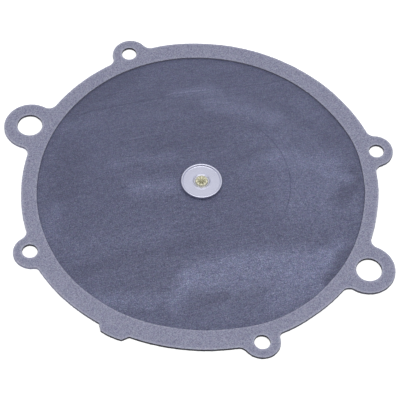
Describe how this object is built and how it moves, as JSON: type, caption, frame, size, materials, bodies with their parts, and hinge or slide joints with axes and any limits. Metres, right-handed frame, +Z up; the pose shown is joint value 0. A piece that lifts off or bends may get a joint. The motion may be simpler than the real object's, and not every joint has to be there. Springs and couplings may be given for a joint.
{
  "type": "fuel system diaphragm",
  "caption": "Round rubberised-cloth regulator diaphragm with a fibre gasket ring, screw ears, a locating tab and a riveted hub with a cup washer and backing plate.",
  "frame": {"origin": "middle of the rivet foot's flat end, on the table that the diaphragm lies on, under the middle of the ring", "axes": "+Z up through the hub, out of the gasket's sealing face; +X to the right of the picture and +Y away from its viewer"},
  "size_m": [0.1291, 0.1208, 0.0054],
  "materials": {
    "gasket_fibre": "matte",
    "rubberised_cloth": "matte",
    "plate_metal": "satin",
    "washer_metal": "gloss",
    "rivet_brass": "satin"
  },
  "bodies": {
    "root": {"gasket_ring": "gasket_fibre", "membrane": "rubberised_cloth", "backing_plate": "plate_metal", "cup_washer": "washer_metal", "hub_rivet": "rivet_brass"}
  },
  "joints": []
}
